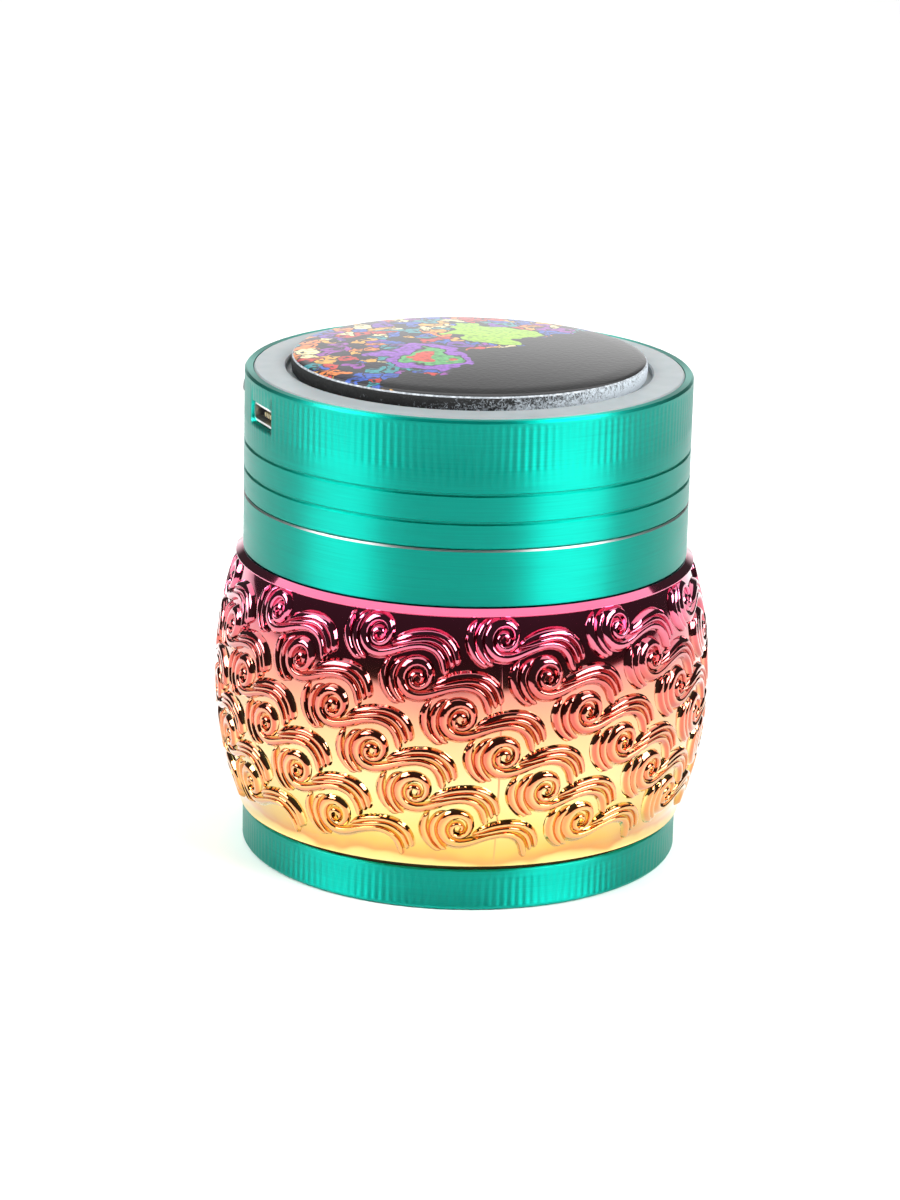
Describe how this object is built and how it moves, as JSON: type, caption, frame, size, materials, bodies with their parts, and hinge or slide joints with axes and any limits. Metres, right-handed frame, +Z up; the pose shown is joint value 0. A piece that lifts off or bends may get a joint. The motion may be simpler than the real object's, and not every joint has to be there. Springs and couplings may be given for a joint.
{
  "type": "herb grinder",
  "caption": "Twist herb grinder: fluted magnetic lid with a light ring and picture disc, toothed chamber, embossed barrel jar with sieve, and screw-on tray.",
  "frame": {"origin": "middle of the tray's underside, on the surface the grinder stands on", "axes": "+Z up the common axis of tray, jar, chamber and lid; -Y towards the front"},
  "size_m": [0.0706, 0.0706, 0.0724],
  "materials": {
    "teal_anodised": "bright dip anodised, fine turned lines",
    "plated_drum": "cast relief, mirror plated, fading pink to orange to yellow down the jar",
    "sieve_wire": "fine woven wire",
    "spring_steel": "bright drawn wire",
    "seal_silicone": "dark moulded silicone",
    "nickel": "nickel plated",
    "slip_nylon": "turned nylon",
    "frosted_guide": "frosted translucent ring",
    "disc_pad": "black grained pad with a printed top",
    "board_green": "solder mask",
    "led_lens": "yellow phosphor in a white case",
    "screw_steel": "zinc plated",
    "cell_wrap": "silver pouch foil",
    "wire_red": "silicone insulation",
    "wire_black": "silicone insulation",
    "chip_black": "moulded epoxy",
    "tongue_black": "moulded nylon",
    "button_grey": "moulded",
    "switch_black": "moulded"
  },
  "bodies": {
    "tray": {"base_tray": "teal_anodised"},
    "tray_seal": {"tray_seal": "seal_silicone"},
    "jar": {"jar_drum": "plated_drum", "sieve_screen": "sieve_wire", "sieve_clip": "spring_steel"},
    "jar_seal": {"jar_seal": "seal_silicone"},
    "chamber": {"chamber_shell": "teal_anodised", "chamber_magnet": "nickel"},
    "slip_ring": {"slip_ring": "slip_nylon"},
    "lid": {"lid_shell": "teal_anodised", "lid_magnet": "nickel", "light_ring": "frosted_guide", "picture_disc": "disc_pad", "led_board": "board_green", "led_1": "led_lens", "led_2": "led_lens", "led_3": "led_lens", "led_4": "led_lens", "led_5": "led_lens", "led_6": "led_lens", "led_7": "led_lens", "board_screw_1": "screw_steel", "board_screw_2": "screw_steel", "board_screw_3": "screw_steel", "battery_cell": "cell_wrap", "battery_lead_red": "wire_red", "battery_lead_black": "wire_black", "charge_chip": "chip_black", "usb_socket": "nickel", "usb_tongue": "tongue_black", "button_switch": "switch_black"},
    "light_button": {"light_button": "button_grey"}
  },
  "joints": [
    {"name": "jar_rise", "type": "slide", "parent": "tray", "child": "tray_seal", "axis": [0, 0, 1], "range_m": [0, 0.004]},
    {"name": "jar_unscrew", "type": "hinge", "parent": "tray_seal", "child": "jar", "pos_m": [0, 0, 0.00625], "axis": [0, 0, 1], "range_deg": [0, 720.2]},
    {"name": "chamber_rise", "type": "slide", "parent": "jar", "child": "jar_seal", "axis": [0, 0, 1], "range_m": [0, 0.004]},
    {"name": "chamber_unscrew", "type": "hinge", "parent": "jar_seal", "child": "chamber", "pos_m": [0, 0, 0.0437], "axis": [0, 0, 1], "range_deg": [0, 720.2]},
    {"name": "lid_lift", "type": "slide", "parent": "chamber", "child": "slip_ring", "axis": [0, 0, 1], "range_m": [0, 0.03]},
    {"name": "lid_spin", "type": "hinge", "parent": "slip_ring", "child": "lid", "pos_m": [0, 0, 0.0524], "axis": [0, 0, 1], "continuous": true},
    {"name": "light_button_press", "type": "slide", "parent": "lid", "child": "light_button", "axis": [0.9863, -0.165, 0], "range_m": [0, 0.00035], "stiffness_N_per_m": 400, "springref_m": -0.001}
  ],
  "couplings": [
    {"joint": "jar_unscrew", "follows": "jar_rise", "rad_per_m": 3141.6},
    {"joint": "chamber_unscrew", "follows": "chamber_rise", "rad_per_m": 3141.6}
  ]
}
